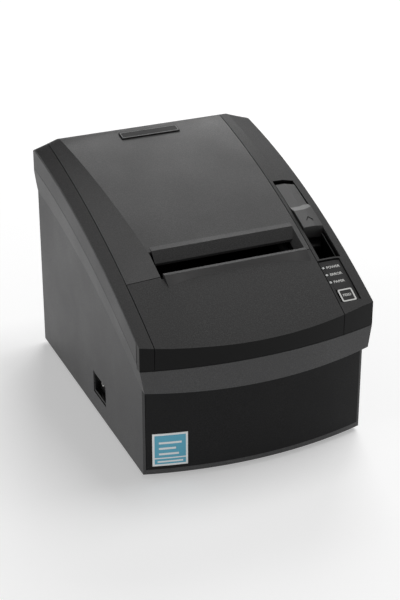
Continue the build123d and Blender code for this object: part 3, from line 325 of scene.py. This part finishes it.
# painted shade: the finger tray, paper sensor and lever chevron take this near-black plastic
SHADE_PLASTIC = moulded_plastic("inner_plastic_painted_shade", SHADE_BLACK, 0.62, 1800.0, 0.00005, 0.10, 0.12)
BUCKET = moulded_plastic("bucket_plastic", (0.016, 0.016, 0.016), 0.55, 1800.0, 0.00006, 0.15)
LEVER = moulded_plastic("lever_plastic", shade(COVER_GREY, 1.05), 0.44, 2600.0, 0.00005, 0.12, 0.35)
SWITCH = smooth_plastic("switch_plastic", (0.008, 0.008, 0.008), 0.28)
GEARS = moulded_plastic("gear_plastic", (0.62, 0.60, 0.54), 0.42, 1500.0, 0.00003, 0.04)
STEEL = brushed_metal("zinc_plated_steel", (0.52, 0.53, 0.54), 0.34)
BLADE = brushed_metal("blade_steel", (0.62, 0.62, 0.63), 0.22, (40.0, 2.0, 2.0))
ALUMINIUM = brushed_metal("extruded_aluminium", (0.70, 0.71, 0.72), 0.38)
PLATE = moulded_plastic("name_plate_plastic", (0.012, 0.012, 0.012), 0.50, 1800.0, 0.00003, 0.08, 0.10)
RUBBER = rubber("black_rubber", (0.012, 0.012, 0.012))
BOARD = circuit_board("circuit_board")
INK = printed_ink("white_ink", INK_WHITE)
INK_GREY = printed_ink("grey_ink", (0.20, 0.20, 0.20))
FILM_BLUE = label_film("label_blue", LABEL_BLUE)
FILM_WHITE = label_film("label_white", LABEL_WHITE)
LENS = light_lens("light_lens", (0.22, 0.23, 0.22))
CERAMIC = moulded_plastic("head_ceramic", (0.36, 0.35, 0.33), 0.30, 1500.0, 0.00002, 0.05)

FINISHES = {
    "lower_case": CASE,
    "middle_frame": CASE,
    "front_panel": PANEL,
    "bottom_cover": PANEL,
    "foot_front_left": RUBBER,
    "foot_front_right": RUBBER,
    "foot_rear_left": RUBBER,
    "foot_rear_right": RUBBER,
    "upper_housing": SKIN,
    "control_panel": KEYS,
    "led_power": LENS,
    "led_error": LENS,
    "led_paper": LENS,
    "feed_button": KEYS,
    "button_board": BOARD,
    "info_label": FILM_WHITE,
    "paper_cover": COVER,
    "name_plate": PLATE,
    "platen_bracket_left": STEEL,
    "platen_bracket_right": STEEL,
    "fixed_blade": BLADE,
    "front_cover": SKIN,
    "release_lever": LEVER,
    "lever_pin": STEEL,
    # the finger tray is near black as painted shade in the deep finger pocket
    "finger_tray": SHADE_PLASTIC,
    "roll_bucket": BUCKET,
    "main_board": BOARD,
    "interface_plate": STEEL,
    "interface_board": BOARD,
    "dc_inlet": SWITCH,
    "drawer_port": SWITCH,
    "usb_port": STEEL,
    "serial_port": STEEL,
    "switch_bezel": SWITCH,
    "power_rocker": SWITCH,
    "mech_frame": STEEL,
    "thermal_head": CERAMIC,
    "heat_sink": ALUMINIUM,
    "head_spring_left": STEEL,
    "head_spring_right": STEEL,
    "platen_shaft": STEEL,
    "platen_roller": RUBBER,
    "platen_gear": GEARS,
    "idler_gear": GEARS,
    "idler_pin": STEEL,
    "motor_pinion": BLADE,
    "stepper_motor": STEEL,
    "cutter_frame": STEEL,
    "cutter_blade": BLADE,
    "cutter_motor": STEEL,
    "hinge_pin_left": STEEL,
    "hinge_pin_right": STEEL,
    "paper_sensor": SHADE_PLASTIC,
}

# radius of each piece's moulded edges
EDGE_RADIUS = {
    "lower_case": 0.45 * MM,
    "middle_frame": 0.25 * MM,
    "upper_housing": 0.30 * MM,
    "paper_cover": 0.40 * MM,
    "front_cover": 0.40 * MM,
    "release_lever": 0.40 * MM,
    "control_panel": 0.20 * MM,
    "feed_button": 0.25 * MM,
    "front_panel": 0.30 * MM,
    "power_rocker": 0.30 * MM,
    "switch_bezel": 0.25 * MM,
    "roll_bucket": 0.40 * MM,
    "name_plate": 0.20 * MM,
}


PLAIN_RADIUS = 0.12 * MM

# skins whose shallow creases are edges too
OUTER_SKINS = {"upper_housing", "paper_cover", "front_cover", "release_lever"}
# degrees between two faces from which their edge is rounded
SHALLOW_CREASE = 3.5
PLAIN_CREASE = 28
WELD_REACH = 0.001 * MM
LARGE_FACE_WEIGHT = 60


def finish_node(name, node):
    """Gives a CAD node its material, rounded edges and even shading."""
    node.data.materials.clear()
    node.data.materials.append(FINISHES[name])
    weld = node.modifiers.new("weld", "WELD")
    weld.merge_threshold = WELD_REACH
    sharpest = SHALLOW_CREASE if name in OUTER_SKINS else PLAIN_CREASE
    bevel = node.modifiers.new("edges", "BEVEL")
    bevel.width = EDGE_RADIUS.get(name, PLAIN_RADIUS)
    bevel.segments = 2
    bevel.limit_method = "ANGLE"
    bevel.angle_limit = math.radians(sharpest)
    bevel.use_clamp_overlap = True
    bevel.miter_outer = "MITER_ARC"
    normals = node.modifiers.new("even_shading", "WEIGHTED_NORMAL")
    normals.keep_sharp = True
    normals.weight = LARGE_FACE_WEIGHT


for node_name, node_object in NODES.items():
    finish_node(node_name, node_object)


# ---- pieces made here ----------------------------------------------------
def add_piece(name, builder, material, body):
    """Makes a mesh piece from a bmesh that builder fills."""
    mesh = bpy.data.meshes.new(name)
    shape = bmesh.new()
    builder(shape)
    bmesh.ops.recalc_face_normals(shape, faces=shape.faces)
    shape.to_mesh(mesh)
    shape.free()
    piece = bpy.data.objects.new(name, mesh)
    bpy.context.scene.collection.objects.link(piece)
    mesh.materials.append(material)
    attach(piece, body)
    return piece


def on_surface(node_name, x, y):
    """Where a line straight down at x, y meets a CAD node, and the surface's normal there."""
    node = NODES[node_name]
    hit, place, normal, _ = node.ray_cast(Vector((x, y, 1.0)), Vector((0, 0, -1)))
    if not hit:
        raise ValueError(f"nothing of {node_name} under {x}, {y}")
    return place, normal


def surface_frame(node_name, x, y):
    """Matrix whose X is the row X, Y runs up the slope and Z leaves the surface."""
    place, normal = on_surface(node_name, x, y)
    across = Vector((1, 0, 0))
    up = normal.cross(across).normalized()
    across = up.cross(normal).normalized()
    turn = Matrix((across, up, normal)).transposed().to_4x4()
    return Matrix.Translation(place) @ turn


def outline_loop(width, height, radius, steps=5):
    """Corner points of a rounded rectangle, as (x, y)."""
    points = []
    for corner, (sx, sy) in enumerate(((1, 1), (-1, 1), (-1, -1), (1, -1))):
        for step in range(steps + 1):
            angle = math.radians(90 * corner + 90 * step / steps)
            x = sx * (width / 2 - radius) + radius * math.cos(angle)
            y = sy * (height / 2 - radius) + radius * math.sin(angle)
            points.append((x, y))
    return points


def extrude_loop(shape, points, bottom, top, place):
    """Closed prism of a loop of points."""
    low = [shape.verts.new(place @ Vector((x, y, bottom))) for x, y in points]
    high = [shape.verts.new(place @ Vector((x, y, top))) for x, y in points]
    shape.faces.new(list(reversed(low)))
    shape.faces.new(high)
    count = len(points)
    for index in range(count):
        after = (index + 1) % count
        shape.faces.new((low[index], low[after], high[after], high[index]))


def extrude_ring(shape, outer, inner, bottom, top, place):
    """Closed ring between two loops with the same number of points."""
    rows = []
    for points, height in ((outer, bottom), (outer, top), (inner, top), (inner, bottom)):
        rows.append([shape.verts.new(place @ Vector((x, y, height))) for x, y in points])
    count = len(outer)
    for index in range(count):
        after = (index + 1) % count
        for row in range(4):
            a, b = rows[row], rows[(row + 1) % 4]
            shape.faces.new((a[index], a[after], b[after], b[index]))


def bar(name, place, width, length, body):
    """Printed bar in the middle of a frame on a surface."""
    loop = outline_loop(width, length, BAR_CORNER)
    add_piece(name, lambda shape: extrude_loop(shape, loop, BAR_ROOT, INK_HEIGHT, place), INK, body)


def ring(name, place, outer, inner, material, body):
    """Printed outline between two loops in a frame on a surface."""
    add_piece(
        name,
        lambda shape: extrude_ring(shape, outer, inner, INK_ROOT, INK_HEIGHT, place),
        material, body)


def write(name, text, place, size, body, align="LEFT"):
    """Small printed word lying on a surface."""
    curve = bpy.data.curves.new(name, "FONT")
    curve.body = text
    curve.size = size
    curve.align_x = align
    curve.align_y = "CENTER"
    curve.extrude = INK_HEIGHT
    curve.offset = INK_SPREAD
    curve.materials.append(INK)
    word = bpy.data.objects.new(name, curve)
    word.matrix_world = place
    bpy.context.scene.collection.objects.link(word)
    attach(word, body)


def flat_top(node_name, normal):
    """Middle of a CAD node's flat top face, which looks along normal."""
    corners = [vertex.co for vertex in NODES[node_name].data.vertices]
    level = max(corner.dot(normal) for corner in corners)
    top = [corner for corner in corners if corner.dot(normal) > level - 0.05 * MM]
    return Vector([(min(axis) + max(axis)) / 2 for axis in zip(*top)])


def light_marks():
    """A word beside each status light."""
    for node_name, word in (("led_power", "POWER"), ("led_error", "ERROR"), ("led_paper", "PAPER")):
        low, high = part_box(node_name)
        y = (low[1] + high[1]) / 2 - 0.4 * MM
        place = surface_frame("control_panel", high[0] + 1.2 * MM, y)
        write(f"word_{word.lower()}", word, place, 2.5 * MM, "chassis")


def button_marks():
    """White outline and word on the feed key's flat cap."""
    low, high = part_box("feed_button")
    middle = ((low[0] + high[0]) / 2, (low[1] + high[1]) / 2)
    place = surface_frame("feed_button", *middle)
    place.translation = flat_top("feed_button", place.col[2].to_3d())
    width = high[0] - low[0]
    outer = outline_loop(width - 0.6 * MM, width - 0.6 * MM, 1.0 * MM)
    inner = outline_loop(width - 2.4 * MM, width - 2.4 * MM, 0.5 * MM)
    ring("key_outline", place, outer, inner, INK, "feed_button")
    write("word_feed", "FEED", place, 2.4 * MM, "feed_button", "CENTER")


def lever_arrow():
    """Raised chevron on the lever's thumb pad."""
    low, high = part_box("release_lever")
    x = (low[0] + high[0]) / 2
    place = surface_frame("release_lever", x, low[1] + 6.5 * MM)
    wide, tall, thick = 2.4 * MM, 1.6 * MM, 0.7 * MM
    root, height = -0.1 * MM, 0.12 * MM

    def chevron(shape):
        for side in (-1, 1):
            foot = side * (wide - thick)
            loop = [(0, tall), (side * wide, -tall), (foot, -tall), (0, tall - 1.35 * thick)]
            extrude_loop(shape, loop, root, height, place)

    # the chevron takes the near-black painted-shade plastic, dark like an engraved mark in shade
    add_piece("lever_arrow", chevron, SHADE_PLASTIC, "release_lever")


def plate_border():
    """Fine bright line round the blank name plate."""
    low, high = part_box("name_plate")
    middle = ((low[0] + high[0]) / 2, (low[1] + high[1]) / 2)
    place = surface_frame("name_plate", *middle)
    width = high[0] - low[0]
    depth = (high[1] - low[1]) / place.col[1][1]
    outer = outline_loop(width - 1.0 * MM, depth - 1.4 * MM, 0.8 * MM)
    inner = outline_loop(width - 1.6 * MM, depth - 2.0 * MM, 0.5 * MM)
    ring("plate_border", place, outer, inner, INK_GREY, "paper_cover")


def front_label():
    """Plain two-part label: a blue field and three bars, with a white border."""
    low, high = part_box("info_label")
    height = high[2] - low[2]
    width = high[0] - low[0]
    label = NODES["info_label"]

    def patch(name, x_range, z_range, lift, material):
        steps = 10

        def build(shape):
            rows = []
            for z in z_range:
                row = []
                for step in range(steps + 1):
                    x = x_range[0] + (x_range[1] - x_range[0]) * step / steps
                    hit, place, normal, _ = label.ray_cast(Vector((x, -0.2, z)), Vector((0, 1, 0)))
                    row.append((place, normal))
                rows.append(row)
            front = [[shape.verts.new(p + n * lift) for p, n in row] for row in rows]
            back = [[shape.verts.new(p - n * FILM_ROOT) for p, n in row] for row in rows]
            around = (front[0], front[1], back[1], back[0])
            for step in range(steps):
                for side in range(4):
                    this, that = around[side], around[(side + 1) % 4]
                    shape.faces.new((this[step], this[step + 1], that[step + 1], that[step]))
            shape.faces.new([row[0] for row in around])
            shape.faces.new([row[-1] for row in reversed(around)])

        add_piece(name, build, material, "chassis")

    def across(start, stop):
        return (low[0] + width * start, low[0] + width * stop)

    def upward(start, stop):
        return (low[2] + height * start, low[2] + height * stop)

    patch("label_field", across(0.06, 0.94), upward(0.26, 0.94), FILM_LIFT, FILM_BLUE)
    patch("label_strip", across(0.06, 0.94), upward(0.06, 0.22), FILM_LIFT, FILM_BLUE)
    for index, stop in enumerate((0.82, 0.66, 0.74)):
        rise = 0.74 - 0.17 * index
        bar_z = upward(rise - 0.06, rise)
        patch(f"label_bar_{index}", across(0.18, stop), bar_z, PRINT_LIFT, FILM_WHITE)
    patch("label_strip_bar", across(0.14, 0.86), upward(0.11, 0.16), PRINT_LIFT, FILM_WHITE)


def switch_marks():
    """On and off marks on the rocker's two halves."""
    low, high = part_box("power_rocker")
    rocker = NODES["power_rocker"]
    z = (low[2] + high[2]) / 2
    middle = (low[1] + high[1]) / 2
    for name, offset in (("on", -4.6 * MM), ("off", 4.6 * MM)):
        hit, place, normal, _ = rocker.ray_cast(Vector((-0.2, middle + offset, z)), Vector((1, 0, 0)))
        up = Vector((0, 0, 1))
        across = up.cross(normal).normalized()
        turn = Matrix((across, up, normal)).transposed().to_4x4()
        where = Matrix.Translation(place) @ turn
        if name == "on":
            bar("switch_on_mark", where, 0.7 * MM, 4.6 * MM, "power_rocker")
        else:
            outer = outline_loop(4.0 * MM, 4.0 * MM, 1.99 * MM)
            inner = outline_loop(2.8 * MM, 2.8 * MM, 1.39 * MM)
            ring("switch_off_mark", where, outer, inner, INK, "power_rocker")


light_marks()
button_marks()
lever_arrow()
plate_border()
front_label()
switch_marks()


# ---- stage, light and camera ---------------------------------------------
def make_floor():
    """Wide pale floor."""
    mesh = bpy.data.meshes.new("floor")
    half = FLOOR_HALF
    corners = [(-half, -half, 0), (half, -half, 0), (half, half, 0), (-half, half, 0)]
    mesh.from_pydata(corners, [], [(0, 1, 2, 3)])
    floor = bpy.data.objects.new("floor", mesh)
    paper = Shader("floor_paper", (0.80, 0.80, 0.80), 0.8, specular=0.1)
    paper.surface.inputs["Emission Color"].default_value = (1.0, 1.0, 1.0, 1.0)
    paper.surface.inputs["Emission Strength"].default_value = FLOOR_GLOW
    mesh.materials.append(paper.material)
    bpy.context.scene.collection.objects.link(floor)


def aim(thing, target):
    """Turns a light or a camera towards a point."""
    direction = Vector(target) - thing.location
    thing.rotation_euler = direction.to_track_quat("-Z", "Y").to_euler()


def add_light(name, place, target, size, power):
    """Soft square light aimed at a point."""
    light = bpy.data.lights.new(name, "AREA")
    light.size = size
    light.energy = power
    lamp = bpy.data.objects.new(name, light)
    lamp.location = place
    bpy.context.scene.collection.objects.link(lamp)
    aim(lamp, target)


def make_camera():
    """Camera looking down at the printer's front left corner."""
    camera = bpy.data.objects.new("camera", bpy.data.cameras.new("camera"))
    azimuth = math.radians(CAMERA_AZIMUTH)
    elevation = math.radians(CAMERA_ELEVATION)
    back = Vector((
        math.sin(azimuth) * math.cos(elevation),
        -math.cos(azimuth) * math.cos(elevation),
        math.sin(elevation),
    ))
    camera.location = CAMERA_TARGET + back * CAMERA_DISTANCE
    camera.data.lens = CAMERA_LENS
    camera.data.sensor_width = 36.0
    camera.data.clip_start = 0.01
    bpy.context.scene.collection.objects.link(camera)
    aim(camera, CAMERA_TARGET)
    bpy.context.scene.camera = camera


def make_world():
    """Even white surroundings."""
    world = bpy.data.worlds.new("studio")
    world.use_nodes = True
    background = world.node_tree.nodes["Background"]
    background.inputs["Color"].default_value = (1.0, 1.0, 1.0, 1.0)
    background.inputs["Strength"].default_value = WORLD_STRENGTH
    bpy.context.scene.world = world


make_floor()
make_world()
for light_settings in LIGHTS:
    add_light(*light_settings)
make_camera()
bpy.context.scene.view_settings.view_transform = "Standard"

bpy.context.view_layer.update()
